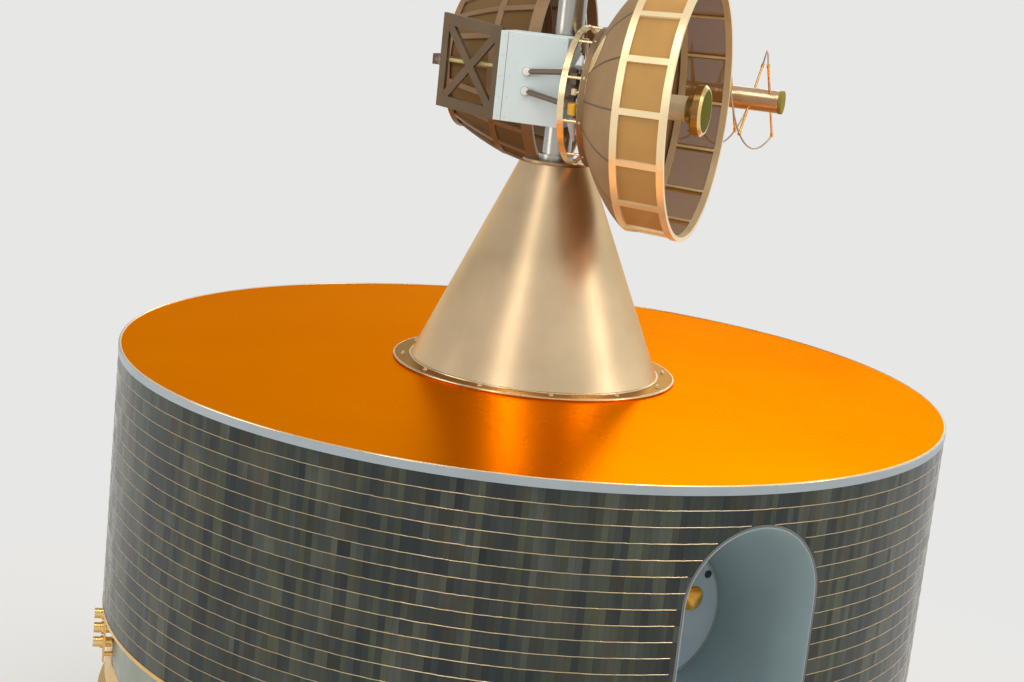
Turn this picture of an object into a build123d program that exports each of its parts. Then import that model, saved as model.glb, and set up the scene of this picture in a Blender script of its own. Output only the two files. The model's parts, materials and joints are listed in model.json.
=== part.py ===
from build123d import *
from dataclasses import dataclass
from math import cos, pi, radians, sin
import os

# A spin-stabilised communications satellite: a drum covered in solar cells, a cone tower on its
# top deck, and a mast that stays still while the drum turns under it. The mast carries two
# reflector antennas, each on a pivot, a helix antenna, an electronics box and a head antenna.
# Millimetres. Z is the spin axis, pointing up. The origin is the centre of the adapter ring's
# underside, on which the satellite stands. Heights named from the deck are above its top face.

# Drum
drum_r = 1371.5
drum_h = 1830.0
rim_h = 24.0
rim_lip = 6.0
rim_ledge = 40.0
deck_t = 12.0
panel_t = 20.0
panel_inset = 1.5
upper_panel_h = 846.0
belt_h = 340.0
belt_recess = 42.0
belt_wall_t = 12.0
belt_rim_h = 14.0
belt_band_proud = 21.5
belt_band_edge = 14.0
belt_band_below = 1102.0
belt_band_flare = 33.0
bottom_deck_t = 30.0
seat_gap = 0.3

# Adapter ring under the drum
adapter_h = 60.0
adapter_r = 430.0
adapter_wall = 12.0
adapter_flange_r = 475.0
adapter_flange_t = 10.0
adapter_pcd = 900.0
adapter_bolts = 24
adapter_bolt_r = 5.5

# Scoop bays, open through the upper solar panel
bay_r = 220.0
bay_top = 123.0
bay_length = 697.0
bay_depth = 464.0
bay_wall = 6.0
bay_floor_up = 57.0
bay_floor_slot = 10.0
bay_cut_past = 40.0
bay_azimuths = {"front": -60.0, "back": 120.0}
bay_jet_side = 62.0
bay_jet_up = 72.0

# Jets, small nozzles turned about their own axis: base radius and thickness, valve radius and
# length, throat radius, exit radius, bell length and wall
jets = {
    "bay": (34.0, 10.0, 16.0, 22.0, 9.0, 40.0, 48.0, 3.0),
    "belt": (22.0, 6.0, 10.0, 8.0, 4.0, 13.0, 24.0, 2.0),
}
belt_jet_azimuths = (-147.0, 33.0)
belt_jet_below = 1030.0

# Fill couplings on a plate over the belt
coupling_azimuth = -167.0
coupling_plate_w = 150.0
coupling_plate_h = 186.0
coupling_plate_t = 8.0
coupling_plate_back = 18.0
coupling_count = 3
coupling_pitch = 50.0
coupling_r = 17.5
coupling_proud = 22.0
coupling_tail = 22.0
coupling_collar_r = 22.0
coupling_collar_t = 8.0
coupling_post_r = 8.0
coupling_post_up = 24.0

# Equipment inside the drum, one plain mass
equipment_r = 420.0
equipment_h = 560.0

# Cone tower
cone_base_r = 415.0
cone_top_r = 118.0
cone_h = 690.0
cone_wall = 5.0
cone_flange_r = 472.0
cone_flange_t = 9.0
cone_top_t = 8.0

# Mast and its bearing
mast_r = 47.0
mast_wall = 5.0
mast_top = 1560.0
mast_tail = 150.0
mast_collar_r = 58.0
mast_collar_h = 18.0
bearing_gap = 0.3
bearing_r = 96.0
bearing_h = 120.0
bearing_lip_r = 108.0
bearing_lip_t = 10.0
mast_turn = -17.2

# Mast clamps: height of the middle, height of the ring
clamp_r = 66.0
clamps = {"lower": (846.0, 44.0), "middle": (940.0, 60.0), "upper": (1080.0, 44.0)}
clamp_lug_w = 40.0

# Electronics box, in the mast's turned axes: u along the pointing direction, v to the back
box_u = (-158.0, 68.0)
box_v = (-220.0, -80.0)
box_z = (824.0, 1108.0)

# Truss frame beside the far dish, its outer end higher than the end at the mast
truss_u = (-467.0, -256.0)
truss_z = (793.0, 1105.0)
truss_rise = 26.0
truss_v = 84.0
truss_bar = 26.0
truss_rail = 38.0
truss_post = 22.0
truss_arm = 24.0

# Reflector antennas, along their own axis from the mount ring
near_hub_r = 220.0
near_bowl_depth = 142.0
near_bowl_bulge = 19.0
near_band_r = 402.0
near_band_len = 170.0
near_rim_r = 411.0
near_rim_w = 22.0
near_ribs = 16
far_hub_r = 251.0
far_bowl_depth = 166.0
far_bowl_bulge = 4.0
far_band_r = 328.0
far_band_len = 182.0
far_rim_r = 374.0
far_rim_w = 40.0
far_ribs = 20
hub_ring_w = 20.0
hub_ring_t = 10.0
cage_len = 63.0
cage_posts = 10
cage_post_r = 4.5
cage_unit_x = 31.0
cage_unit_ring_r = 192.0
cage_unit_foot = 8.0
# Units in the near cage: degrees up from the near side, length, lower and upper radius
cage_unit_sizes = (
    (36.0, 42.0, 14.0, 7.0),
    (6.5, 20.0, 9.0, 9.0),
    (-9.0, 36.0, 15.0, 15.0),
    (-31.0, 75.0, 6.0, 16.0),
)
bowl_t = 5.0
bowl_rows = 4
rib_w = 20.0
rib_t = 9.0
ring_w = 22.0
ring_t = 14.0
skin_t = 3.0
feed_r = 40.0
puck_r = 80.0
puck_t = 37.0
puck_back = 17.0
puck_edge = 8.0
flare_r = 58.0
flare_len = 22.0

# Pivots: place in the mast's turned axes, and where the pin line crosses the dish's own axis
near_pivot = (117.0, -175.0, 933.0)
far_pivot = (-525.5, 540.0, 964.0)
near_pivot_x = 0.0
far_pivot_x = 60.5
near_eye_clear = 22.0
far_eye_clear = 38.0
pin_r = 7.0
pin_gap = 0.3
pin_past = 6.0
eye_w = 36.0
eye_t = 26.0

# Plate inside the near mount ring: how far it stands off the dish's axis, its heights, and the
# block on its face
near_plate_reach = 145.0
near_plate_z = (898.0, 1026.0)
near_block_reach = 190.0
near_block_len = 51.0
near_block_z = (978.0, 1010.0)

# Struts from the box's face to that plate: start and end in the turned axes
strut_r = 9.0
strut_foot_r = 15.0
strut_foot_t = 12.0
struts = (((-56.0, 989.0), (117.0, 1010.0)), ((-56.0, 927.0), (117.0, 907.0)))

# Helix antenna behind the near dish
helix_v = 445.0
helix_z = 948.0
helix_arm_r = 20.0
lug_past_arm = 5.0
helix_tube_r = 38.0
helix_tube_u = (-45.0, 640.0)
helix_r = 166.0
helix_u = (268.5, 596.0)
helix_tip_angle = 42.0
helix_wires = 2
helix_rods = 6
helix_wire_r = 3.0
helix_wire_sides = 6
helix_steps = 4
helix_rod_r = 4.5

# Antenna at the mast's head, and the whip on it
head_r = 150.0
head_waist_r = 60.0
head_h = 250.0
head_plate_t = 8.0
whip_r = 16.0
whip_tip_r = 5.0
whip_h = 250.0

deck_z = adapter_h + drum_h
panel_top = deck_z - rim_h
belt_top = panel_top - upper_panel_h
belt_bottom = belt_top - belt_h
panel_r = drum_r - panel_inset
panel_in_r = panel_r - panel_t
belt_r = drum_r - belt_recess
belt_band_r = belt_r + belt_band_proud
bay_high = deck_z - bay_top - bay_r
bay_low = deck_z - bay_top - bay_length + bay_r
bay_floor = drum_r - bay_depth
bay_floor_z = bay_low + bay_floor_up
bowl_x = cage_len + hub_ring_w / 2
hub_plate_x = bowl_x - bowl_t


@dataclass
class Reflector:
    """Sizes of one reflector antenna: mount ring, bowl, band, rim and ribs."""

    hub_r: float
    bowl_depth: float
    bulge: float
    band_r: float
    band_len: float
    rim_r: float
    rim_w: float
    ribs: int

    @property
    def band_x(self):
        return bowl_x + self.bowl_depth

    @property
    def rim_x(self):
        return self.band_x + self.band_len


near_reflector = Reflector(
    near_hub_r,
    near_bowl_depth,
    near_bowl_bulge,
    near_band_r,
    near_band_len,
    near_rim_r,
    near_rim_w,
    near_ribs,
)
far_reflector = Reflector(
    far_hub_r,
    far_bowl_depth,
    far_bowl_bulge,
    far_band_r,
    far_band_len,
    far_rim_r,
    far_rim_w,
    far_ribs,
)


def ring(r_out, r_in, z_low, z_high):
    return Pos(0, 0, z_low) * extrude(Circle(r_out) - Circle(r_in), z_high - z_low)


def disc(radius, z_low, z_high):
    return Pos(0, 0, z_low) * extrude(Circle(radius), z_high - z_low)


def turned_z(points):
    """Solid turned about Z from its outline, as (radius, height) points."""
    face = Plane.XZ * make_face(Polyline(*points, close=True))
    return revolve(face, Axis.Z)


def turned_x(points):
    """Solid turned about X from its outline, as (x, radius) points."""
    return revolve(make_face(Polyline(*points, close=True)), Axis.X)


def x_cylinder(radius, x_low, x_high):
    return Pos(x_low, 0, 0) * Rot(0, 90, 0) * extrude(Circle(radius), x_high - x_low)


def v_cylinder(radius, v_low, v_high):
    return Pos(0, v_low, 0) * Rot(-90, 0, 0) * extrude(Circle(radius), v_high - v_low)


def rod(start, end, radius):
    line = Line(start, end)
    return extrude(Plane(origin=start, z_dir=line % 0) * Circle(radius), line.length)


def square_bar(start, end, size):
    line = Line(start, end)
    return extrude(Plane(origin=start, z_dir=line % 0) * Rectangle(size, size), line.length)


def block(u_range, v_range, z_range):
    ranges = (u_range, v_range, z_range)
    sizes = [high - low for low, high in ranges]
    corner = [low for low, high in ranges]
    return Pos(*corner) * Box(*sizes, align=(Align.MIN, Align.MIN, Align.MIN))


def outward(azimuth, radius=0.0, z=0.0):
    """Place whose X axis points out of the drum at this azimuth, with Z up."""
    return Rot(0, 0, azimuth) * Pos(radius, 0, z)


def on_mast(piece):
    """Piece from the mast's turned axes, with heights above the deck, into the satellite's."""
    return Pos(0, 0, deck_z) * Rot(0, 0, mast_turn) * piece


def jet(kind):
    """Nozzle along X: round base, valve, throat and an open bell."""
    base_r, base_t, valve_r, valve_len, throat_r, exit_r, bell_len, wall = jets[kind]
    bell_x = base_t + valve_len
    exit_x = bell_x + bell_len
    return turned_x([
        (0, 0),
        (0, base_r),
        (base_t, base_r),
        (base_t, valve_r),
        (bell_x, valve_r),
        (bell_x, throat_r + wall),
        (exit_x, exit_r),
        (exit_x, exit_r - wall),
        (bell_x, throat_r),
        (bell_x - wall, throat_r),
        (bell_x - wall, 0),
    ])


def bay_space(radius, floor_x, out_x):
    """Scoop bay's space in outward axes: round at its floor, and spreading to a long slot."""
    length = out_x - floor_x
    floor_low = bay_floor_z - bay_floor_slot / 2
    floor_high = bay_floor_z + bay_floor_slot / 2
    across = Plane(origin=(floor_x, 0, 0), x_dir=(0, 1, 0), z_dir=(1, 0, 0))
    half = Rectangle(2 * radius, 2 * radius)
    slopes = (bay_low - floor_low) / bay_depth, (bay_high - floor_high) / bay_depth
    side = Polyline(
        (floor_x, floor_high),
        (out_x, floor_high + slopes[1] * length),
        (out_x, floor_low + slopes[0] * length),
        (floor_x, floor_low),
        close=True,
    )
    space = extrude(Plane.XZ * make_face(side), radius, both=True)
    for slope, centre_z, way in ((slopes[0], floor_low, -1), (slopes[1], floor_high, 1)):
        end = Pos(0, centre_z) * (Circle(radius) & Pos(0, way * radius) * half)
        space += extrude(across * end, dir=(1, 0, slope), amount=length * (1 + slope ** 2) ** 0.5)
    return space


def drum_pieces():
    parts = {}
    tube_in = adapter_r - adapter_wall
    adapter = ring(adapter_r, tube_in, 0, adapter_h)
    adapter += ring(adapter_flange_r, tube_in, 0, adapter_flange_t)
    adapter += ring(adapter_flange_r, tube_in, adapter_h - adapter_flange_t, adapter_h)
    bolt = disc(adapter_bolt_r, 0, adapter_flange_t)
    adapter -= PolarLocations(adapter_pcd / 2, adapter_bolts) * bolt
    parts["adapter_ring"] = adapter
    parts["bottom_deck"] = disc(panel_in_r - seat_gap, adapter_h, adapter_h + bottom_deck_t)
    parts["lower_solar_panel"] = ring(panel_r, panel_in_r, adapter_h, belt_bottom)
    parts["belt_rim_lower"] = ring(drum_r, belt_r - belt_wall_t, belt_bottom, belt_bottom + belt_rim_h)
    parts["belt_rim_upper"] = ring(drum_r, belt_r - belt_wall_t, belt_top - belt_rim_h, belt_top)
    parts["belt_wall"] = ring(belt_r, belt_r - belt_wall_t, belt_bottom + belt_rim_h, belt_top - belt_rim_h)
    parts["top_rim"] = turned_z([
        (drum_r, panel_top),
        (drum_r, deck_z),
        (drum_r - rim_lip, deck_z),
        (drum_r - rim_lip, deck_z - deck_t),
        (drum_r - rim_ledge, deck_z - deck_t),
        (drum_r - rim_ledge, panel_top),
    ])
    parts["top_deck"] = disc(drum_r - rim_lip - seat_gap, deck_z - deck_t, deck_z)
    inside_z = adapter_h + bottom_deck_t
    parts["equipment_block"] = disc(equipment_r, inside_z, inside_z + equipment_h)

    panel = ring(panel_r, panel_in_r, belt_top, panel_top)
    skin = disc(panel_r, belt_top, panel_top)
    hollow = bay_space(bay_r, bay_floor, drum_r + bay_cut_past)
    shell = bay_space(bay_r + bay_wall, bay_floor - bay_wall, drum_r + bay_cut_past)
    slot = bay_space(bay_r + bay_wall + seat_gap, bay_floor - bay_wall, drum_r + bay_cut_past)
    for name, azimuth in bay_azimuths.items():
        place = outward(azimuth)
        panel -= place * slot
        parts["bay_liner_" + name] = (place * shell & skin) - place * hollow
        jet_place = outward(azimuth, bay_floor, bay_floor_z) * Pos(0, bay_jet_side, bay_jet_up)
        parts["bay_jet_" + name] = jet_place * jet("bay")
    for side, turn in (("left", -90.0), ("right", 90.0)):
        half = block((0, drum_r), (-drum_r, drum_r), (belt_top, panel_top))
        parts["upper_solar_panel_" + side] = panel & outward(bay_azimuths["front"] + turn) * half
    return parts


def belt_pieces():
    parts = {}
    plate_x = drum_r - coupling_plate_back
    plate_top = belt_top - belt_rim_h
    plate_z = (plate_top - coupling_plate_h, plate_top)
    half_w = coupling_plate_w / 2
    plate = block((plate_x, plate_x + coupling_plate_t), (-half_w, half_w), plate_z)
    tube = x_cylinder(coupling_r, plate_x - coupling_tail, drum_r + coupling_proud)
    collar_x = plate_x + coupling_plate_t
    tube += x_cylinder(coupling_collar_r, collar_x, collar_x + coupling_collar_t)
    hole = x_cylinder(coupling_r + seat_gap, plate_x, collar_x)
    rows = []
    for row in range(coupling_count):
        step = (row - (coupling_count - 1) / 2) * coupling_pitch
        rows.append(Pos(0, 0, sum(plate_z) / 2 + step))
    for place in rows:
        plate -= place * hole
    post_z = plate_z[0] + coupling_post_up
    belt_solid = disc(belt_r, belt_bottom, belt_top)
    here = outward(coupling_azimuth)
    for side in (-1, 1):
        post_y = side * (half_w - 2 * coupling_post_r)
        plate += Pos(0, post_y, post_z) * x_cylinder(coupling_post_r, belt_r - belt_wall_t, plate_x)
    parts["coupling_plate"] = here * plate - belt_solid
    parts["couplings"] = Compound([here * place * tube for place in rows])
    small_jets = []
    for azimuth in belt_jet_azimuths:
        place = outward(azimuth, belt_r - belt_wall_t, deck_z - belt_jet_below)
        stem = x_cylinder(jets["belt"][0], 0, belt_wall_t)
        small_jets.append(place * (stem + Pos(belt_wall_t, 0, 0) * jet("belt")) - belt_solid)
    parts["belt_jets"] = Compound(small_jets)
    band_z = deck_z - belt_band_below
    half_edge = belt_band_edge / 2
    foot_r = belt_r + seat_gap
    parts["belt_band"] = turned_z([
        (foot_r, band_z - half_edge - belt_band_flare),
        (belt_band_r, band_z - half_edge),
        (belt_band_r, band_z + half_edge),
        (foot_r, band_z + half_edge + belt_band_flare),
    ])
    return parts


def tower_pieces():
    parts = {}
    bearing_hole = bearing_r + seat_gap
    cone = turned_z([
        (cone_flange_r, 0),
        (cone_flange_r, cone_flange_t),
        (cone_base_r, cone_flange_t),
        (cone_top_r, cone_h),
        (bearing_hole, cone_h),
        (bearing_hole, cone_h - cone_top_t),
        (cone_top_r - cone_wall, cone_h - cone_top_t),
        (cone_base_r - cone_wall, cone_flange_t),
        (cone_base_r - cone_wall, 0),
    ])
    parts["cone_tower"] = Pos(0, 0, deck_z) * cone
    mast_hole = mast_r + bearing_gap
    bearing = ring(bearing_r, mast_hole, cone_h - bearing_h, cone_h + bearing_lip_t)
    bearing += ring(bearing_lip_r, mast_hole, cone_h, cone_h + bearing_lip_t)
    parts["mast_bearing"] = Pos(0, 0, deck_z) * bearing
    return parts


def clamp_range(name):
    middle, height = clamps[name]
    return middle - height / 2, middle + height / 2


def truss_line(u, z):
    """Point of the truss frame, raised with its distance from the end at the mast."""
    left, right = truss_u
    return u, z + truss_rise * (right - u) / (right - left)


def truss_face(side, edge):
    """Truss frame's outline, drawn in from its posts and rails by these widths."""
    left, right = truss_u
    low, high = truss_z
    corners = (
        (left + side, low + edge),
        (right - side, low + edge),
        (right - side, high - edge),
        (left + side, high - edge),
    )
    return make_face(Polyline(*[truss_line(u, z) for u, z in corners], close=True))


def mast_pieces():
    parts = {}
    tube = ring(mast_r, mast_r - mast_wall, cone_h - mast_tail, mast_top)
    collar_z = cone_h + bearing_lip_t + seat_gap
    tube += ring(mast_collar_r, mast_r - mast_wall, collar_z, collar_z + mast_collar_h)
    parts["mast_tube"] = tube
    half_lug = clamp_lug_w / 2
    mast_core = disc(mast_r, cone_h, mast_top)
    for name in clamps:
        z_range = clamp_range(name)
        body = disc(clamp_r, *z_range)
        if name != "middle":
            body += block((-half_lug, half_lug), (box_v[1], 0), z_range)
        parts["mast_clamp_" + name] = body - mast_core
    parts["electronics_box"] = block(box_u, box_v, box_z)

    left, right = truss_u
    outline = truss_face(0, 0) - truss_face(truss_post, truss_rail)
    frame = Pos(0, truss_v, 0) * extrude(Plane.XZ * outline, truss_bar / 2, both=True)
    near_mast, far_out = right - truss_post / 2, left + truss_post / 2
    low, high = truss_z[0] + truss_rail / 2, truss_z[1] - truss_rail / 2
    for out_z, mast_z in ((low, high), (high, low)):
        out_u, out_z = truss_line(far_out, out_z)
        mast_u, mast_z = truss_line(near_mast, mast_z)
        frame += square_bar((out_u, truss_v, out_z), (mast_u, truss_v, mast_z), truss_arm)
    parts["truss_frame"] = frame
    arms = []
    for name in ("lower", "upper"):
        z = clamps[name][0]
        arm = square_bar((0, truss_v - truss_arm, z), (right, truss_v, z), truss_arm)
        arms.append(arm - disc(clamp_r, *clamp_range(name)) - frame)
    parts["truss_arms"] = arms
    return parts


def carrier_pieces():
    """Struts, plates and arms on the mast that hold the two dishes' pins."""
    parts = {}
    u, v, z = near_pivot
    half = eye_w / 2
    plate_v = (v - near_plate_reach, v - near_plate_reach + eye_t)
    plate = block((u - half, u + half), plate_v, near_plate_z)
    plate += block((u - half, u - half + near_block_len), (v - near_block_reach, plate_v[0]), near_block_z)
    parts["near_pivot_plate"] = plate - Pos(u, 0, z) * v_cylinder(pin_r + pin_gap, *plate_v)
    face_v = box_v[0]
    links = []
    for (start_u, start_z), (end_u, end_z) in struts:
        foot = Pos(start_u, 0, start_z) * v_cylinder(strut_foot_r, face_v - strut_foot_t, face_v)
        line = rod((start_u, face_v, start_z), (end_u, sum(plate_v) / 2, end_z), strut_r)
        links.append(foot + (line - plate - block(box_u, box_v, box_z)))
    parts["near_struts"] = links

    in_v = v + near_hub_r + near_eye_clear
    lug = block((helix_arm_r + lug_past_arm, u + half), (in_v, in_v + eye_t), (z - half, z + half))
    lug -= disc(clamp_r, *clamp_range("middle"))
    lug -= Pos(u, 0, z) * v_cylinder(pin_r + pin_gap, in_v, in_v + eye_t)
    parts["near_pivot_lug"] = lug

    u, v, z = far_pivot
    out_v = v - far_hub_r - far_eye_clear
    far_eye_v = (out_v - 2 * eye_t, out_v)
    eye = block((u - half, u + half), far_eye_v, (z - half, z + half))
    left_bar_u = truss_u[0] + truss_post / 2
    arm = square_bar((left_bar_u, truss_v, z), (u, far_eye_v[0] + eye_t, z), truss_bar)
    frame_space = block(truss_u, (truss_v - truss_bar, truss_v + truss_bar / 2), truss_z)
    arm = arm + eye - frame_space
    arm -= Pos(u, 0, z) * v_cylinder(pin_r + pin_gap, far_eye_v[0] - truss_bar, out_v)
    parts["far_pivot_arm"] = arm
    return parts


def helix_point(rods_in, wire):
    """Point on one of the two opposite wires, this many rod spacings in from the free end."""
    angle = radians(helix_tip_angle + 180 * wire - 90 * rods_in)
    u = helix_u[1] - (helix_u[1] - helix_u[0]) * rods_in / (helix_rods - 1)
    return u, helix_v + helix_r * sin(angle), helix_z - helix_r * cos(angle)


def helix_pieces():
    parts = {}
    arm = Pos(0, 0, helix_z) * v_cylinder(helix_arm_r, 0, helix_v)
    tube = Pos(0, helix_v, helix_z) * x_cylinder(helix_tube_r, *helix_tube_u)
    parts["helix_arm"] = arm - disc(clamp_r, *clamp_range("middle")) - tube
    parts["helix_tube"] = tube
    rods = []
    for step in range(helix_rods):
        rods.append(rod(helix_point(step, 0), helix_point(step, 1), helix_rod_r))
    coil = Part() + rods
    for wire in range(helix_wires):
        steps = range((helix_rods - 1) * helix_steps + 1)
        corners = [helix_point(step / helix_steps, wire) for step in steps]
        path = Polyline(*corners)
        section = Plane(origin=path @ 0, z_dir=path % 0) * RegularPolygon(helix_wire_r, helix_wire_sides)
        coil += sweep(section, path, transition=Transition.RIGHT)
    parts["helix_coil"] = coil - tube
    return parts


def head_pieces():
    parts = {}
    foot_z = mast_top
    parts["head_antenna"] = turned_z([
        (0, foot_z),
        (head_r, foot_z),
        (head_r, foot_z + head_plate_t),
        (head_waist_r, foot_z + head_h / 2),
        (head_r, foot_z + head_h - head_plate_t),
        (head_r, foot_z + head_h),
        (0, foot_z + head_h),
    ])
    whip_z = foot_z + head_h
    tip_z = whip_z + whip_h
    parts["head_whip"] = turned_z([(0, whip_z), (whip_r, whip_z), (whip_tip_r, tip_z), (0, tip_z)])
    return parts


def x_ring(r_out, r_in, x_low, x_high):
    return x_cylinder(r_out, x_low, x_high) - x_cylinder(r_in, x_low, x_high)


def around_x(piece, count, radius):
    return [Rot(360 * i / count, 0, 0) * Pos(0, 0, radius) * piece for i in range(count)]


def bowl_line(dish, below):
    """Bowl's line from the mount ring to the band, this far below its outer one."""
    points = []
    for row in range(bowl_rows + 1):
        share = row / bowl_rows
        radius = dish.hub_r + (dish.band_r - dish.hub_r) * share + dish.bulge * sin(pi * share)
        points.append((bowl_x + dish.bowl_depth * share, radius - below))
    return points


def bowl(dish, below):
    """Reflector from the mount ring to the band, its wall bulging out in a row of cones."""
    return turned_x(bowl_line(dish, below) + bowl_line(dish, below + bowl_t)[::-1])


def band_shell(dish, below, thick):
    """Cone-shaped wall between the band's two rings, this far below their outer line."""
    start_x, stop_x = dish.band_x + ring_w, dish.rim_x - dish.rim_w
    slope = (dish.rim_r - dish.band_r) / dish.band_len
    start_r = dish.band_r + slope * ring_w - below
    stop_r = dish.rim_r - slope * dish.rim_w - below
    outer = [(start_x, start_r), (stop_x, stop_r)]
    inner = [(stop_x, stop_r - thick), (start_x, start_r - thick)]
    return turned_x(outer + inner)


def ribs_in(wall, dish, x_low, x_high):
    """Ribs of a reflector, cut from a turned wall."""
    half_w = rib_w / 2
    slab = block((x_low, x_high), (-half_w, half_w), (dish.hub_r / 2, dish.rim_r))
    return [Rot(360 * rib / dish.ribs, 0, 0) * slab & wall for rib in range(dish.ribs)]


def band_frame(dish, bars_on_bowl):
    frame = x_ring(dish.band_r, dish.band_r - ring_t, dish.band_x, dish.band_x + ring_w)
    frame += x_ring(dish.rim_r, dish.rim_r - ring_t, dish.rim_x - dish.rim_w, dish.rim_x)
    frame += ribs_in(band_shell(dish, 0, rib_t), dish, dish.band_x, dish.rim_x)
    if bars_on_bowl:
        bowl_wall = turned_x(bowl_line(dish, 0) + bowl_line(dish, rib_t)[::-1])
        frame += ribs_in(bowl_wall, dish, bowl_x, dish.band_x)
    return frame


def puck(dish):
    """Feed horn's disc, with rounded edges and a flared neck."""
    start = dish.rim_x - puck_back
    stop = start + puck_t
    return turned_x([
        (start - flare_len, 0),
        (start - flare_len, feed_r),
        (start, flare_r),
        (start, puck_r - puck_edge),
        (start + puck_edge, puck_r),
        (stop - puck_edge, puck_r),
        (stop, puck_r - puck_edge),
        (stop, 0),
    ])


def cage_units():
    """Small cone-shaped units round the near side of the cage, each on a foot on the hub plate."""
    units = []
    foot_half = cage_unit_foot / 2
    for angle, length, low_r, high_r in cage_unit_sizes:
        body = turned_z([(0, 0), (low_r, 0), (high_r, length), (0, length)])
        foot = block((0, hub_plate_x - cage_unit_x), (-foot_half, foot_half), (length / 3, 2 * length / 3))
        units.append(Rot(-angle, 0, 0) * Pos(cage_unit_x, -cage_unit_ring_r, -length / 2) * (body + foot))
    return Compound(units)


def near_mount(dish):
    """Cage of two rings and posts, with a pin in to the near plate and one out to the far lug."""
    ring_half = hub_ring_w / 2
    hub_in = dish.hub_r - hub_ring_t
    hub = x_ring(dish.hub_r, hub_in, cage_len - ring_half, cage_len + ring_half)
    hub += x_ring(dish.hub_r, hub_in, -ring_half, ring_half)
    post = x_cylinder(cage_post_r, ring_half, cage_len - ring_half)
    hub += around_x(post, cage_posts, dish.hub_r - hub_ring_t / 2)
    hub += v_cylinder(pin_r, -hub_in - hub_ring_t / 2, -near_plate_reach + eye_t + pin_past)
    hub += v_cylinder(pin_r, hub_in + hub_ring_t / 2, dish.hub_r + near_eye_clear + eye_t + pin_past)
    return hub


def far_mount(dish):
    """One ring, with a pin across it and out to the far eye."""
    ring_half = hub_ring_w / 2
    hub_in = dish.hub_r - hub_ring_t
    hub = x_ring(dish.hub_r, hub_in, cage_len - ring_half, cage_len + ring_half)
    pin_v = dish.hub_r + far_eye_clear + 2 * eye_t + pin_past
    return hub + Pos(far_pivot_x, 0, 0) * v_cylinder(pin_r, -pin_v, hub_in)


def dish_pieces(name, dish, hub, bars_on_bowl):
    """One reflector antenna along X, its mount ring centred on the origin."""
    parts = {"hub": hub}
    parts["hub_plate"] = x_cylinder(dish.hub_r - hub_ring_t - seat_gap, hub_plate_x, bowl_x)
    parts["bowl"] = bowl(dish, rib_t + seat_gap if bars_on_bowl else 0)
    parts["band_frame"] = band_frame(dish, bars_on_bowl)
    parts["band_skin"] = band_shell(dish, rib_t + seat_gap, skin_t)
    parts["feed_tube"] = x_cylinder(feed_r, bowl_x, dish.rim_x - puck_back - flare_len)
    parts["feed_puck"] = puck(dish)
    return {name + "_" + piece: solid for piece, solid in parts.items()}


def place_dish(parts, pivot, pivot_x):
    u, v, z = pivot
    return {name: Pos(u - pivot_x, v, z) * solid for name, solid in parts.items()}


pieces = drum_pieces()
pieces.update(belt_pieces())
pieces.update(tower_pieces())
on_mast_pieces = mast_pieces()
on_mast_pieces.update(carrier_pieces())
on_mast_pieces.update(helix_pieces())
on_mast_pieces.update(head_pieces())
near_pieces = dish_pieces("near", near_reflector, near_mount(near_reflector), False)
near_pieces["near_cage_units"] = cage_units()
far_pieces = dish_pieces("far", far_reflector, far_mount(far_reflector), True)
on_mast_pieces.update(place_dish(near_pieces, near_pivot, near_pivot_x))
on_mast_pieces.update(place_dish(far_pieces, far_pivot, far_pivot_x))
for name, solid in on_mast_pieces.items():
    solid = Compound(solid) if isinstance(solid, list) else solid
    pieces[name] = on_mast(solid)

os.makedirs("parts", exist_ok=True)
for name, solid in pieces.items():
    export_step(solid, "parts/" + name + ".step")
print(len(pieces), "pieces")
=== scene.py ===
import json
from collections import namedtuple
from math import cos, floor, pi, radians, sin, sqrt, tau
from random import Random

import bpy
from mathutils import Matrix, Vector


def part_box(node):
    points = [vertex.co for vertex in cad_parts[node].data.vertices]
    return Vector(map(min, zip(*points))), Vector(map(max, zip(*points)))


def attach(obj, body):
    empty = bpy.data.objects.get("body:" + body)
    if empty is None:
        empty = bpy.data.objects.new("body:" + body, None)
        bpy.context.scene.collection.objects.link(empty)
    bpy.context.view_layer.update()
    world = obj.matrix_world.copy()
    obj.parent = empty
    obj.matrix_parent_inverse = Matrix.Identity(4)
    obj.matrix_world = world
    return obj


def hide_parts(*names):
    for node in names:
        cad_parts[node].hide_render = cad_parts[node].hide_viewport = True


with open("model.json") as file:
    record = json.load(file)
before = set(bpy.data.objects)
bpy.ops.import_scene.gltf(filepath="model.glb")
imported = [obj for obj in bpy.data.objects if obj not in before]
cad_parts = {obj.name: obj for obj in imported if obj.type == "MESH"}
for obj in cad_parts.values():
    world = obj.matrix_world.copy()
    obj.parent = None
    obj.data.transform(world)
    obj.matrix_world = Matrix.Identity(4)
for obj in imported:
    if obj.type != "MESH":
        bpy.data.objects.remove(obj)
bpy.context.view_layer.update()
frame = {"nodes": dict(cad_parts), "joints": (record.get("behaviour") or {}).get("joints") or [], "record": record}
NODES = frame["nodes"]
JOINTS = {joint["name"]: joint for joint in frame["joints"]}

# Places read from the frame, in metres
DECK_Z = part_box("top_deck")[1].z
DRUM_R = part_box("top_rim")[1].x
PANEL_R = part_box("lower_solar_panel")[1].x
BELT_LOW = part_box("belt_rim_lower")[0].z
PANEL_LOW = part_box("lower_solar_panel")[0].z
AWAY = Vector(JOINTS["near_dish_tilt"]["axis"])
UP = Vector((0, 0, 1))
POINTING = AWAY.cross(UP)

# Radius that stands for the axis in turned profiles, angle below which meshes look smooth, beads' sides
AXIS_R = 0.0001
SMOOTH_ANGLE = 35.0
BEAD_SIDES = 10

# Camera, from the photograph's own perspective: place, what it is levelled on, and its turns
CAMERA_AT = Vector((0.0, -6.1950, 3.2642))
CAMERA_LEVEL_POINT = Vector((0.0, 0.0, 1.890))
CAMERA_TILT = 0.01188628
CAMERA_PAN = 0.01268956
CAMERA_ROLL = 0.10868176
CAMERA_LENS = 66.17
SENSOR_WIDTH = 36.0

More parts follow.
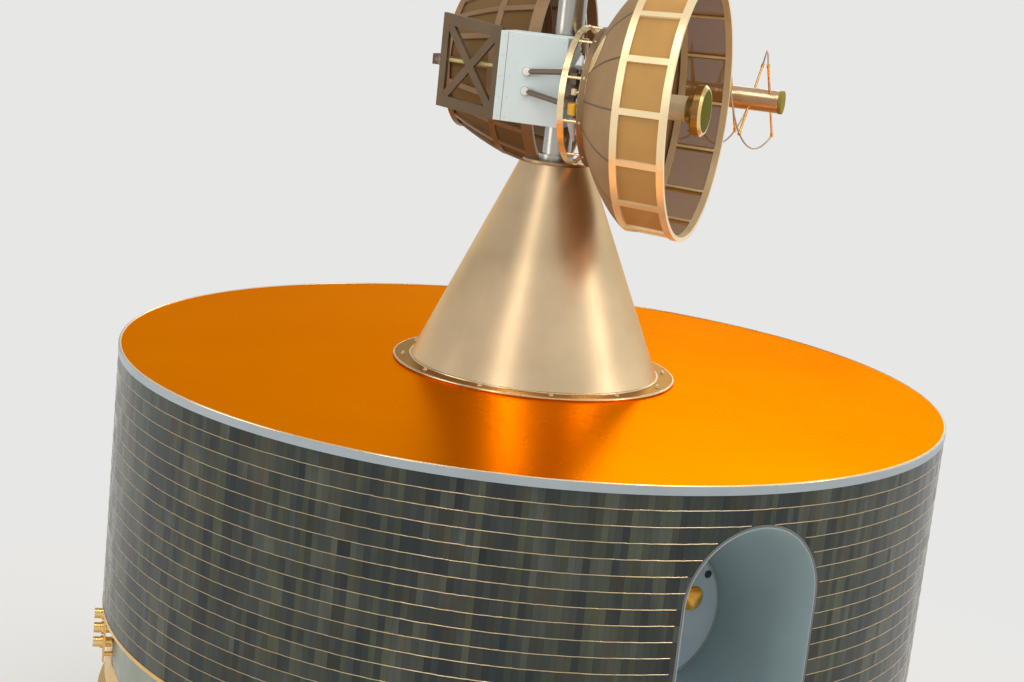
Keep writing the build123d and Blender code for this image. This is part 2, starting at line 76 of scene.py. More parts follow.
# Solar cells: how many round the drum, how far each leans, and the bus lines between their rows
CELL_COUNT = 430
CELL_LEAN = (0.05, 0.05, 0.03)
FIRST_BUS = 0.0675
BUS_PITCH = 0.0472
BUS_HALF = 0.0012
BUS_T = 0.0008
BUS_LINE = ((0.0, -BUS_HALF), (BUS_T, -BUS_HALF / 2), (BUS_T, BUS_HALF / 2), (0.0, BUS_HALF))
BUS_WAVE = 0.0006
UPPER_BUS_LINES = 17

# Scoop bays, as built
BAY_AZIMUTHS = {"front": -60.0, "back": 120.0}
BAY_R = 0.220
BAY_WALL = 0.006
BAY_TOP = 0.123
BAY_LENGTH = 0.697
BAY_DEPTH = 0.464
BAY_FLOOR_SLOT = 0.010
BAY_FLOOR_RISE = 0.057
BAY_HIGH = DECK_Z - BAY_TOP - BAY_R
BAY_LOW = DECK_Z - BAY_TOP - BAY_LENGTH + BAY_R
BAY_FLOOR_X = DRUM_R - BAY_DEPTH
BAY_FLOOR_Z = BAY_LOW + BAY_FLOOR_RISE

# Trim round a bay's mouth: its section as radius and height above the panel
TRIM_INNER = BAY_R + BAY_WALL / 2
TRIM_OUTER = BAY_R + BAY_WALL + 0.004
TRIM_LINE = ((TRIM_INNER, -0.002), (TRIM_INNER, 0.0008), (TRIM_OUTER, 0.0008), (TRIM_OUTER, -0.002))
TRIM_STEPS = 48

# Bead, plate and port on a bay's floor
FLOOR_STEPS = 96
FLOOR_BEAD_R = 0.0022
FLOOR_BEAD_RING_R = BAY_R - 0.0025
FLOOR_BEAD_PROUD = 0.0015
FLOOR_PLATE_R = BAY_R - 0.008
FLOOR_PLATE_T = 0.0010
FLOOR_PLATE_LINE = ((FLOOR_PLATE_R, -0.0005), (FLOOR_PLATE_R, FLOOR_PLATE_T), (AXIS_R, FLOOR_PLATE_T),
                    (AXIS_R, -0.0005))
FLOOR_PORT = (0.166, 0.112)

# Discs, heads and washers here and below: sides, radius, height, rounding and, if raised, base
PORT_DISC = (32, 0.0125, 0.0024, 0.0008)

# Dishes along their own axis, from the mount ring's middle
Dish = namedtuple("Dish", "hub_r bowl_depth bulge band_r band_len rim_r rim_w ribs pivot_x")
DISHES = {
    "near": Dish(0.220, 0.142, 0.019, 0.402, 0.170, 0.411, 0.022, 16, 0.0),
    "far": Dish(0.251, 0.166, 0.004, 0.328, 0.182, 0.374, 0.040, 20, 0.0605),
}
BOWL_X = 0.073
RING_W = 0.022
RIB_T = 0.009
SEAT_GAP = 0.0003
SKIN_T = 0.0016
DISH_STEPS = 160

# Strips inside the band, rivets, and the near bowl's seams
INNER_RIB_W = 0.0085
INNER_RIB_T = 0.0030
INNER_RIB_GAP = 0.0001
RIVET = (10, 0.0021, 0.0011, 0.0006)
RIVET_OFF_MIDDLE = 0.0052
SEAM_LINE = ((-0.0030, 0.0), (-0.0030, 0.0007), (0.0030, 0.0007), (0.0030, 0.0))

# Rods in the near dish's band: degrees up from the near side at each end, radii and inset there
BRACE_RODS = ((-16.0, -30.0), (29.0, 50.0))
BRACE_ROD_R = 0.0030
BRACE_RADII = (0.384, 0.392)
BRACE_INSET = 0.004

# Feeds: back face from the rim, thickness, studs round the back and the face in front
FEED_BACK = 0.017
FEED_T = 0.037
FEED_STUDS = 6
FEED_STUD_TURN = 0.35
FEED_STUD_RING_R = 0.066
FEED_STUD_FOOT = (20, 0.0070, 0.0035, 0.001)
FEED_STUD_HEAD = (16, 0.0045, 0.0105, 0.002)
FEED_FACE_LINE = ((AXIS_R, 0.0), (AXIS_R, 0.0012), (0.064, 0.0012), (0.0665, 0.0))

# Near dish's cage: sleeve on its second ring, and screws at its posts
CAGE_LEN = 0.063
CAGE_POSTS = 10
SLEEVE_T = 0.0012
SLEEVE_LINE = ((0.0002, -0.0095), (SLEEVE_T, -0.0090), (SLEEVE_T, 0.0090), (0.0002, 0.0095))
CAGE_SCREW_R = 0.0026

# Gilt plate on the near bowl, a painted gold reflection of the polished second ring: its ends in degrees up from
# the near side. Across it, places and widths are in rows of the bowl's line: its middle at each end, its half
# width there, and its swell between
PLATE_FROM = 22.0
PLATE_TO = 44.0
PLATE_STEPS = 24
PLATE_ROWS = 40
PLATE_ROW_FROM = 2.5
PLATE_ROW_TO = 10.5
PLATE_END_HALF = 1.8
PLATE_SWELL = 4.8
PLATE_GAP = 0.0004
PLATE_T = 0.0022

# Units in the near dish's cage: degrees up from the near side, length, lower and upper radius
CAGE_UNITS = {
    "cage_cone_white": (36.0, 0.042, 0.014, 0.007),
    "cage_sleeve_cream": (6.5, 0.020, 0.009, 0.009),
    "cage_drum_yellow": (-9.0, 0.036, 0.015, 0.015),
    "cage_taper_pale": (-31.0, 0.075, 0.006, 0.016),
}
CAGE_UNIT_X = 0.031
CAGE_UNIT_RING_R = 0.192
CAGE_UNIT_EDGE = 0.0018
CAGE_FOOT_DEEP = 0.026
CAGE_FOOT_WIDE = 0.008
CAGE_FOOT_BEVEL = 0.001

# Electronics box in the mast's turned axes, its cover's seam, its screws and the struts' feet on it
BOX_U = (-0.158, 0.068)
BOX_V = (-0.220, -0.080)
BOX_Z = (0.824, 1.108)
BOX_EDGE = 0.0022
BOX_SEAM_AT = (-0.132, BOX_V[0] - 0.0002, sum(BOX_Z) / 2)
BOX_SEAM = (0.0018, 0.0008, BOX_Z[1] - BOX_Z[0] - 0.004)
BOX_SCREW_R = 0.0022
BOX_FACE_SCREWS_U = (-0.146, -0.118, 0.056)
BOX_FACE_SCREWS_Z = (0.838, 0.900, 0.966, 1.032, 1.094)
BOX_END_SCREWS_V = (-0.206, -0.150, -0.094)
BOX_END_SCREWS_Z = (0.838, 0.966, 1.094)
STRUT_FEET = ((-0.056, 0.989), (-0.056, 0.927))
STRUT_FOOT = (40, 0.0155, 0.0128, 0.004)

# Rod behind the truss frame, with a nut outside its far post
TRUSS_V = 0.084
CROSS_ROD_U = (-0.447, -0.254)
CROSS_ROD_V = TRUSS_V + 0.018
CROSS_ROD_Z = 0.973
CROSS_ROD_R = 0.0060
CROSS_NUT_U = -0.467
CROSS_NUT = (6, 0.0042, 0.006, 0.002)

# Mast's clamps: height of each, and how far apart its bolts are
CLAMPS = ((0.846, 0.022), (0.940, 0.030), (1.080, 0.022))
CLAMP_BOLT_U = 0.054
CLAMP_BOLT_V = -0.052
CLAMP_WASHER = (24, 0.0075, 0.010, 0.0015)
CLAMP_BOLT_HEAD = (6, 0.0055, 0.017, 0.001)

# Helix antenna: two opposite wires on rods that cross its tube
HELIX_R = 0.166
HELIX_U = (0.2685, 0.596)
HELIX_TIP_ANGLE = 42.0
HELIX_RODS = 6
HELIX_V = 0.445
HELIX_Z = 0.948
HELIX_WIRE_R = 0.0030
HELIX_ROD_R = 0.0042
HELIX_FERRULE_R = HELIX_ROD_R + 0.0016
HELIX_FERRULE_OUT = 0.004
HELIX_FERRULE_IN = 0.010
HELIX_STEPS = 10
HELIX_CAP_U = 0.640
HELIX_CAP_LINE = (
    (0.0382, -0.012), (0.0394, -0.011), (0.0394, 0.0), (0.0376, 0.0014), (AXIS_R, 0.0014), (AXIS_R, -0.012),
)

# Bead where the deck meets its rim
DECK_BEAD_R = 0.0028
DECK_BEAD_IN = 0.0062

# Cone tower's flange, its bolts and its beads
CONE_BASE_R = 0.415
FLANGE_T = 0.009
FOOT_BEAD = (CONE_BASE_R + 0.002, DECK_Z + FLANGE_T, 0.0045)
FLANGE_BEAD = (0.4705, DECK_Z + 0.0052, 0.0042)
FLANGE_BOLTS = 12
FLANGE_BOLT_RING_R = 0.442
FLANGE_WASHER = (24, 0.0080, 0.0018, 0.0006)
FLANGE_BOLT_HEAD = (6, 0.0054, 0.0064, 0.0014, 0.0018)
FLANGE_BOLT_TURN = -171.5

# Finishes: scale of gloss patches next to colour's, grain, tints of cells (the olive one a painted reflection of a
# green wall) and flange, gauze's wires
GLOSS_PATCH_SCALE = 2.3
GRAIN_SCALE = 220.0
GRAIN_DEPTH = 0.0004
CELL_BROWN = (0.062, 0.048, 0.024)
CELL_OLIVE_REFLECTION = (0.050, 0.060, 0.018)
CELL_BLUE = (0.026, 0.036, 0.040)
CELL_GAP = (0.012, 0.014, 0.016)
FLANGE_BROWN = (0.40, 0.235, 0.085)
GAUZE_WIRES = 1240
GAUZE_PITCH = 0.0016

# Background that the camera, gloss and glass see, light from all round, and the floor with its fade
BACKGROUND = (0.80, 0.80, 0.79)
ROOM_LIGHT = (0.84, 0.83, 0.82)
FLOOR_HALF = 120.0
FLOOR_FADE = (1.6, 5.0)

# Lamps: place, what each points at, width and height, watts and colour
TOWER_POINT = (0.0, 0.0, DECK_Z + 0.3)
MAST_POINT = (0.3, -0.1, DECK_Z + 0.9)
LAMPS = {
    "key_left": ((-3.4, -5.7, 5.4), TOWER_POINT, (0.9, 4.0), 42, (1.0, 0.94, 0.84)),
    "key_right": ((6.4, -1.6, 4.6), TOWER_POINT, (0.8, 4.6), 45, (1.0, 0.94, 0.80)),
    "high_left": ((-1.8, -3.2, 8.6), TOWER_POINT, (1.0, 3.0), 90, (1.0, 0.93, 0.80)),
    "low_left": ((-4.6, -1.6, 2.6), MAST_POINT, (2.0, 1.6), 22, (1.0, 0.94, 0.86)),
    "high_right": ((3.4, -0.9, 8.4), TOWER_POINT, (1.2, 3.0), 90, (1.0, 0.93, 0.80)),
    "back_high": ((2.4, 7.4, 5.4), TOWER_POINT, (4.6, 1.4), 60, (1.0, 0.93, 0.82)),
}


def new_object(name, data):
    """New object in the scene that shows this mesh, lamp or camera."""
    made = bpy.data.objects.new(name, data)
    bpy.context.scene.collection.objects.link(made)
    return made


class Form:
    """Corners and faces of one piece, gathered before its mesh is made."""

    def __init__(self):
        self.corners = []
        self.faces = []

    def add(self, corners, faces):
        start = len(self.corners)
        self.corners += [tuple(corner) for corner in corners]
        self.faces += [[start + index for index in face] for face in faces]

    def add_rings(self, rings, ends=True):
        """Adds rings of points joined one to the next, with a face over each end."""
        count = len(rings[0])
        last = (len(rings) - 1) * count
        faces = []
        for low in range(0, last, count):
            for step in range(count):
                after = (step + 1) % count
                faces.append([low + step, low + after, low + count + after, low + count + step])
        if ends:
            faces.append(list(range(count))[::-1])
            faces.append([last + step for step in range(count)])
        self.add([point for ring in rings for point in ring], faces)

    def piece(self, name, finish, body, slot):
        mesh = bpy.data.meshes.new(name)
        mesh.from_pydata(self.corners, [], self.faces)
        mesh.validate()
        mesh.update()
        mesh.materials.append(MATERIALS[finish])
        mesh.shade_smooth()
        mesh.set_sharp_from_angle(angle=radians(SMOOTH_ANGLE))
        piece = new_object(name, mesh)
        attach(piece, body)
        return piece


def axes_place(origin, x_axis, y_axis, z_axis):
    """Matrix that takes local axes to these three at this origin."""
    turn = Matrix((x_axis, y_axis, z_axis)).transposed()
    return Matrix.Translation(origin) @ turn.to_4x4()


def on_mast(u, v, z):
    """Point in the mast's turned axes, with its height above the deck."""
    return POINTING * u + AWAY * v + UP * (DECK_Z + z)


def mast_face(u, v, z):
    """Place on the mast whose X runs where the dishes point and whose Z faces the near side."""
    return axes_place(on_mast(u, v, z), POINTING, UP, -AWAY)


def mast_end(u, v, z):
    """Place on the mast whose Z faces away from where the dishes point."""
    return axes_place(on_mast(u, v, z), AWAY, UP, -POINTING)


def dish_place(name):
    """Axes of one dish: X away from the camera, Y up, Z where it points, from its mount ring."""
    pivot = Vector(JOINTS[name + "_dish_tilt"]["pos_m"])
    return axes_place(pivot - POINTING * DISHES[name].pivot_x, AWAY, UP, POINTING)


def outward(angle, radius=1.0, height=0.0):
    """Point at this angle and radius about a Z axis, and this far along it."""
    return Vector((radius * cos(angle), radius * sin(angle), height))


def facing(spot, out):
    """Place on a dish, in its own axes, whose Z points out and whose X runs along the dish."""
    along = Vector((0, 0, 1))
    return axes_place(spot, along, out.cross(along), out)


def lathe(form, place, profile, count):
    """Adds a closed profile of (radius, height) points turned once about the place's Z axis."""
    size = len(profile)
    corners = []
    faces = []
    for column in range(count):
        angle = tau * column / count
        corners += [place @ outward(angle, radius, height) for radius, height in profile]
        here = column * size
        there = (column + 1) % count * size
        for row in range(size):
            after = (row + 1) % size
            faces.append([here + row, there + row, there + after, here + after])
    form.add(corners, faces)


def bead(form, radius, z, bead_r, count):
    """Adds a round bead about the drum's axis."""
    angles = [tau * step / BEAD_SIDES for step in range(BEAD_SIDES)]
    profile = [(radius + bead_r * cos(angle), z + bead_r * sin(angle)) for angle in angles]
    lathe(form, Matrix.Identity(4), profile, count)


def tube(form, path, radius, sides=12, ends=True):
    """Adds a round wire along a path of points, its frame carried from point to point."""
    points = [Vector(point) for point in path]
    ahead = (points[1] - points[0]).normalized()
    side = ahead.orthogonal().normalized()
    angles = [tau * step / sides for step in range(sides)]
    rings = []
    for index, point in enumerate(points):
        before = points[max(index - 1, 0)]
        after = points[min(index + 1, len(points) - 1)]
        ahead = (after - before).normalized()
        side = (side - ahead * side.dot(ahead)).normalized()
        other = ahead.cross(side)
        rings.append([point + (side * cos(angle) + other * sin(angle)) * radius for angle in angles])
    form.add_rings(rings, ends)


def bar(form, place, size, bevel=0.0):
    """Adds a box of this size centred on the place, its upright edges cut by a bevel."""
    half_x, half_y, half_z = [value / 2 for value in size]
    if bevel:
        flat_x = half_x - bevel
        flat_y = half_y - bevel
        outline = [
            (-flat_x, -half_y), (flat_x, -half_y), (half_x, -flat_y), (half_x, flat_y),
            (flat_x, half_y), (-flat_x, half_y), (-half_x, flat_y), (-half_x, -flat_y),
        ]
    else:
        outline = [(-half_x, -half_y), (half_x, -half_y), (half_x, half_y), (-half_x, half_y)]
    form.add_rings([[place @ Vector((x, y, z)) for x, y in outline] for z in (-half_z, half_z)])


def rounded_disc(radius, height, edge, base=0.0):
    """Profile of a disc with a rounded upper edge, for bolts, studs and knobs."""
    profile = [(AXIS_R, base), (radius, base), (radius, base + height - edge)]
    for step in range(1, 4):
        angle = step * pi / 6
        profile.append((radius - edge + edge * cos(angle), base + height - edge + edge * sin(angle)))
    profile.append((AXIS_R, base + height))
    return profile


def discs(form, place, *rows):
    """Adds discs on one axis, each as (sides, radius, height, rounding and, if raised, base)."""
    for sides, *sizes in rows:
        lathe(form, place, rounded_disc(*sizes), sides)


def rgba(color):
    return (*color, 1.0)


def new_material(name, color, metallic, roughness, specular=0.5, edge_tint=(1.0, 1.0, 1.0)):
    material = bpy.data.materials.new(name)
    material.use_nodes = True
    shader = material.node_tree.nodes["Principled BSDF"]
    shader.inputs["Base Color"].default_value = rgba(color)
    shader.inputs["Metallic"].default_value = metallic
    shader.inputs["Roughness"].default_value = roughness
    shader.inputs["Specular IOR Level"].default_value = specular
    shader.inputs["Specular Tint"].default_value = rgba(edge_tint)
    return material, material.node_tree, shader


def plug(tree, value, socket):
    """Feeds a socket from another socket, or with a plain number or vector."""
    if isinstance(value, bpy.types.NodeSocket):
        tree.links.new(value, socket)
    else:
        socket.default_value = value


def fed_node(tree, kind, values, operation=None):
    """Outputs of a new node whose first sockets are fed with these values."""
    node = tree.nodes.new("ShaderNode" + kind)
    if operation:
        node.operation = operation
    for index, value in enumerate(values):
        plug(tree, value, node.inputs[index])
    return node.outputs


def calc(tree, operation, *values):
    return fed_node(tree, "Math", values, operation)[0]


def vector_calc(tree, operation, *values):
    outputs = fed_node(tree, "VectorMath", values, operation)
    return outputs["Value" if operation == "DOT_PRODUCT" else "Vector"]


def object_coords(tree):
    return tree.nodes.new("ShaderNodeTexCoord").outputs["Object"]


def surface_normal(tree):
    return tree.nodes.new("ShaderNodeNewGeometry").outputs["Normal"]


def split(tree, vector):
    return fed_node(tree, "SeparateXYZ", [vector])


def combine(tree, *values):
    return fed_node(tree, "CombineXYZ", values)[0]


def noise(tree, vector, scale, detail=3.0, stretch=(1.0, 1.0, 1.0)):
    mapping = tree.nodes.new("ShaderNodeMapping")
    mapping.inputs["Scale"].default_value = stretch
    tree.links.new(vector, mapping.inputs["Vector"])
    node = tree.nodes.new("ShaderNodeTexNoise")
    node.inputs["Scale"].default_value = scale
    node.inputs["Detail"].default_value = detail
    tree.links.new(mapping.outputs[0], node.inputs["Vector"])
    return node.outputs["Fac"]


def random_value(tree, *values):
    """Random number and random vector that hold for one set of whole numbers."""
    node = tree.nodes.new("ShaderNodeTexWhiteNoise")
    tree.links.new(combine(tree, *values), node.inputs["Vector"])
    return node.outputs["Value"], node.outputs["Color"]


def ramp(tree, factor, stops):
    """Colour along a factor from (place, colour) stops."""
    node = tree.nodes.new("ShaderNodeValToRGB")
    band = node.color_ramp
    while len(band.elements) < len(stops):
        band.elements.new(0.5)
    for element, (place, color) in zip(band.elements, stops):
        element.position = place
        element.color = rgba(color)
    tree.links.new(factor, node.inputs[0])
    return node.outputs[0]


def spread(tree, factor, low, high, from_low=0.3, from_high=0.7):
    """Number between low and high as the factor crosses its usual range."""
    node = tree.nodes.new("ShaderNodeMapRange")
    node.inputs["From Min"].default_value = from_low
    node.inputs["From Max"].default_value = from_high
    node.inputs["To Min"].default_value = low
    node.inputs["To Max"].default_value = high
    tree.links.new(factor, node.inputs["Value"])
    return node.outputs[0]


def mix_color(tree, factor, first, second):
    node = tree.nodes.new("ShaderNodeMix")
    node.data_type = "RGBA"
    plug(tree, factor, node.inputs[0])
    plug(tree, first, node.inputs[6])
    plug(tree, second, node.inputs[7])
    return node.outputs[2]


def bump(tree, shader, height, strength, distance):
    node = tree.nodes.new("ShaderNodeBump")
    node.inputs["Strength"].default_value = strength
    node.inputs["Distance"].default_value = distance
    tree.links.new(height, node.inputs["Height"])
    tree.links.new(node.outputs[0], shader.inputs["Normal"])


def scaled(color, share):
    return tuple(min(channel * share, 1.0) for channel in color)


def patchy(tree, coords, color, scale, vary):
    """Colour in soft patches, darker and paler by this share."""
    patches = noise(tree, coords, scale, 4.0)
    return ramp(tree, patches, [(0.3, scaled(color, 1 - vary)), (0.7, scaled(color, 1 + vary))])


def worn_material(name, finish):
    """Finish with soft patches of colour and gloss, and a fine grain in its surface."""
    color, metallic, roughness = finish[:3]
    material, tree, shader = new_material(name, color, metallic, roughness, finish.specular)
    coords = object_coords(tree)
    tint = patchy(tree, coords, color, finish.patch_scale, finish.vary)
    tree.links.new(tint, shader.inputs["Base Color"])
    gloss = noise(tree, coords, finish.patch_scale * GLOSS_PATCH_SCALE, 5.0)
    tree.links.new(spread(tree, gloss, roughness - finish.rough_vary, roughness + finish.rough_vary),
                   shader.inputs["Roughness"])
    bump(tree, shader, noise(tree, coords, GRAIN_SCALE, 2.0), finish.grain, GRAIN_DEPTH)
    return material


def drum_grid(tree):
    """Cell column and row round the drum, each as a running number."""
    x, y, z = split(tree, object_coords(tree))
    angle = calc(tree, "ARCTAN2", y, x)
    across = calc(tree, "MULTIPLY", angle, CELL_COUNT / tau)
    down = calc(tree, "DIVIDE", calc(tree, "SUBTRACT", DECK_Z - FIRST_BUS, z), BUS_PITCH)
    return across, down


def cell_material():
    """Dark glass cells, each leaning a little its own way, in strips that differ in tint, some with a painted
    olive reflection of a green wall.
    """
    material, tree, shader = new_material("solar_cells", (0.05, 0.06, 0.07), 0.0, 0.16, specular=0.26)
    across, down = drum_grid(tree)
    column = calc(tree, "FLOOR", across)
    row = calc(tree, "FLOOR", down)
    pair = calc(tree, "FLOOR", calc(tree, "DIVIDE", across, 2.0))
    own, lean = random_value(tree, column, row, 0.0)
    strip, _ = random_value(tree, column, 40.0, 3.0)
    block, _ = random_value(tree, pair, row, 7.0)
    hue, _ = random_value(tree, pair, row, 19.0)
    wide = combine(tree, calc(tree, "MULTIPLY", across, 0.07), calc(tree, "MULTIPLY", down, 0.05), 0.0)
    large = noise(tree, wide, 2.2, 2.0)
    share = calc(tree, "MULTIPLY", own, 0.16)
    for value, weight in ((strip, 0.22), (block, 0.24), (large, 0.62)):
        share = calc(tree, "ADD", share, calc(tree, "MULTIPLY", value, weight))
    tint = ramp(tree, share, [
        (0.36, (0.014, 0.018, 0.018)),
        (0.52, (0.027, 0.033, 0.031)),
        (0.66, (0.048, 0.055, 0.047)),
        (0.84, (0.088, 0.096, 0.078)),
    ])
    tint = mix_color(tree, spread(tree, hue, 0.0, 0.45, 0.55, 1.0), tint, rgba(CELL_BROWN))
    # Painted reflection: olive tint of a green wall, on random strips
    tint = mix_color(tree, spread(tree, strip, 0.0, 0.50, 0.50, 1.0), tint, rgba(CELL_OLIVE_REFLECTION))
    tint = mix_color(tree, spread(tree, large, 0.45, 0.0, 0.35, 0.55), tint, rgba(CELL_BLUE))
    edge = calc(tree, "LESS_THAN", calc(tree, "FRACT", across), 0.06)
    tint = mix_color(tree, calc(tree, "MULTIPLY", edge, 0.4), tint, rgba(CELL_GAP))
    tree.links.new(tint, shader.inputs["Base Color"])
    tree.links.new(spread(tree, block, 0.13, 0.30, 0.0, 1.0), shader.inputs["Roughness"])
    centred = vector_calc(tree, "MULTIPLY_ADD", lean, CELL_LEAN, [-value / 2 for value in CELL_LEAN])
    leaning = vector_calc(tree, "ADD", surface_normal(tree), centred)
    tree.links.new(vector_calc(tree, "NORMALIZE", leaning), shader.inputs["Normal"])
    return material


def deck_material():
    """Orange-gold satin deck, its tint and gloss changing slowly across it."""
    edge_tint = (1.0, 0.50, 0.02)
    material, tree, shader = new_material("gold_deck", (0.93, 0.34, 0.006), 1.0, 0.27, edge_tint=edge_tint)
    coords = object_coords(tree)
    tint = ramp(tree, noise(tree, coords, 1.3, 5.0), [
        (0.30, (0.91, 0.315, 0.005)),
        (0.52, (0.94, 0.340, 0.007)),
        (0.72, (0.97, 0.365, 0.010)),
    ])
    tree.links.new(tint, shader.inputs["Base Color"])
    gloss = noise(tree, coords, 5.0, 5.0)
    tree.links.new(spread(tree, gloss, 0.265, 0.285), shader.inputs["Roughness"])
    return material


def cone_material():
    """Brushed champagne metal, its grain running up the cone, with faint stains and a browner flange."""
    color = (0.86, 0.66, 0.43)
    material, tree, shader = new_material("tower_metal", color, 1.0, 0.30, edge_tint=(0.92, 0.74, 0.50))
    shader.inputs["Anisotropic"].default_value = 0.35
    coords = object_coords(tree)
    x, y, z = split(tree, coords)
    stains = noise(tree, coords, 3.2, 6.0)
    tint = ramp(tree, stains, [(0.34, scaled(color, 0.84)), (0.55, color), (0.72, scaled(color, 1.10))])
    flange = calc(tree, "LESS_THAN", z, DECK_Z + FLANGE_T + SEAT_GAP)
    tree.links.new(mix_color(tree, flange, tint, rgba(FLANGE_BROWN)), shader.inputs["Base Color"])
    around = combine(tree, calc(tree, "ARCTAN2", y, x), z, 0.0)
    grain = noise(tree, around, 60.0, 3.0, (3.0, 0.12, 1.0))
    tree.links.new(spread(tree, grain, 0.29, 0.38), shader.inputs["Roughness"])
    bump(tree, shader, grain, 0.03, GRAIN_DEPTH)
    return material


def gauze_material(name, origin, color, inside, cover, metallic=0.0, roughness=0.7):
    """Fine woven metal gauze of a dish, with painted shade on its inner side, whose wires cover this share of it.
    """
    material, tree, shader = new_material(name, color, metallic, roughness, 0.2, color)
    coords = object_coords(tree)
    offset = vector_calc(tree, "SUBTRACT", coords, origin)
    side = vector_calc(tree, "DOT_PRODUCT", offset, AWAY)
    along = vector_calc(tree, "DOT_PRODUCT", offset, POINTING)
    angle = calc(tree, "ARCTAN2", split(tree, offset)[2], side)
    warp = calc(tree, "ABSOLUTE", calc(tree, "SINE", calc(tree, "MULTIPLY", angle, GAUZE_WIRES / 2)))
    weft = calc(tree, "ABSOLUTE", calc(tree, "SINE", calc(tree, "MULTIPLY", along, pi / GAUZE_PITCH)))
    tint = patchy(tree, coords, color, 7.0, 0.10)
    weave = calc(tree, "MULTIPLY", calc(tree, "MULTIPLY", warp, weft), 0.5)
    threads = mix_color(tree, weave, tint, rgba(scaled(color, 0.62)))
    # Painted shade: faces turned inward take the darker inside colour
    facing_out = vector_calc(tree, "DOT_PRODUCT", surface_normal(tree), offset)
    painted_shade_side = calc(tree, "LESS_THAN", facing_out, 0.0)
    tree.links.new(mix_color(tree, painted_shade_side, threads, rgba(inside)), shader.inputs["Base Color"])
    shader.inputs["Alpha"].default_value = cover
    return material


Finish = namedtuple(
    "Finish", "color metallic roughness patch_scale vary rough_vary grain specular",
    defaults=(6.0, 0.10, 0.06, 0.15, 0.5))
FINISHES = {
    "machined_metal": Finish((0.60, 0.60, 0.61), 1.0, 0.34),
    "deck_underside": Finish((0.52, 0.53, 0.55), 0.0, 0.55),
    "gold_trim": Finish((0.80, 0.53, 0.20), 1.0, 0.26),
    "belt_wall": Finish((0.30, 0.33, 0.27), 0.6, 0.34),
    "rim_white": Finish((0.40, 0.45, 0.48), 0.6, 0.34, vary=0.05),
    "equipment": Finish((0.5, 0.5, 0.5), 0.0, 0.6),
    "bay_lining": Finish((0.34, 0.43, 0.45), 0.0, 0.38, patch_scale=3.0),
    "bay_edge": Finish((0.15, 0.15, 0.14), 0.1, 0.42),
    "bay_plate": Finish((0.52, 0.60, 0.66), 0.0, 0.38, patch_scale=4.0, vary=0.12),
    "bay_port": Finish((0.03, 0.035, 0.035), 0.0, 0.45),
    "pale_bead": Finish((0.42, 0.46, 0.45), 0.3, 0.35),
    "nozzle_gold": Finish((0.88, 0.62, 0.25), 1.0, 0.22),
    "bright_gold": Finish((0.95, 0.72, 0.32), 1.0, 0.16),
    # Feed face: olive colour is a painted reflection of a green wall in gold metal
    "feed_face": Finish((0.125, 0.125, 0.022), 0.0, 0.85, specular=0.05),
    "bearing_dark": Finish((0.38, 0.26, 0.15), 0.8, 0.36),
    "polished_tube": Finish((0.40, 0.39, 0.36), 1.0, 0.24, rough_vary=0.04),
    "feed_tube": Finish((0.96, 0.78, 0.52), 0.2, 0.30, rough_vary=0.03, grain=0.0),
    # Far hub: painted shade, a darker copy of the ring metal
    "far_hub_metal": Finish((0.30, 0.18, 0.09), 0.4, 0.42),
    "hub_dark": Finish((0.10, 0.070, 0.045), 0.1, 0.45),
    "tube_cap": Finish((0.30, 0.24, 0.05), 0.0, 0.80, specular=0.05),
    "helix_tube": Finish((0.66, 0.48, 0.31), 0.85, 0.30, rough_vary=0.0, grain=0.0),
    "box_white": Finish((0.64, 0.75, 0.77), 0.0, 0.40, patch_scale=4.0, vary=0.04),
    "box_seam": Finish((0.25, 0.28, 0.29), 0.0, 0.5),
    "ceramic_white": Finish((0.78, 0.80, 0.80), 0.0, 0.32),
    "truss_brown": Finish((0.150, 0.108, 0.064), 0.1, 0.48, vary=0.16, specular=0.3),
    "strut_brown": Finish((0.17, 0.135, 0.105), 0.3, 0.40),
    "ring_metal": Finish((0.94, 0.74, 0.46), 0.85, 0.24, rough_vary=0.03, grain=0.0),
    # Second ring's sleeve: brown as a painted dark reflection in the polished ring's middle
    "ring_brown": Finish((0.24, 0.15, 0.08), 0.5, 0.40),
    # Gilt plate: a painted gold reflection at the top of the polished second ring
    "gilt_plate": Finish((0.96, 0.72, 0.36), 0.3, 0.30, grain=0.02),
    "gold_wire": Finish((0.88, 0.52, 0.14), 0.9, 0.30),
    "helix_wire": Finish((0.52, 0.42, 0.32), 0.6, 0.38),
    "cream_rod": Finish((0.92, 0.74, 0.46), 0.3, 0.34),
    "pale_yellow": Finish((0.60, 0.56, 0.22), 0.0, 0.42),
    "cage_cone_white": Finish((0.66, 0.70, 0.76), 0.0, 0.30),
    "cage_sleeve_cream": Finish((0.80, 0.68, 0.44), 0.0, 0.36),
    "cage_drum_yellow": Finish((0.85, 0.48, 0.03), 0.1, 0.32),
    "cage_taper_pale": Finish((0.62, 0.64, 0.72), 0.0, 0.34),
    "bus_wire": Finish((0.66, 0.52, 0.32), 1.0, 0.32),
    "bolt_steel": Finish((0.86, 0.74, 0.54), 0.9, 0.30),
    "seam_brown": Finish((0.14, 0.10, 0.07), 0.4, 0.5),
    "tower_bead": Finish((0.80, 0.62, 0.40), 1.0, 0.26),
    "near_rib_metal": Finish((0.96, 0.75, 0.45), 0.45, 0.31, rough_vary=0.03, grain=0.0),
    # Far dish's ribs: painted shade, a darker copy of the near ribs' metal
    "far_rib_metal": Finish((0.27, 0.165, 0.085), 0.3, 0.42, grain=0.0),
}

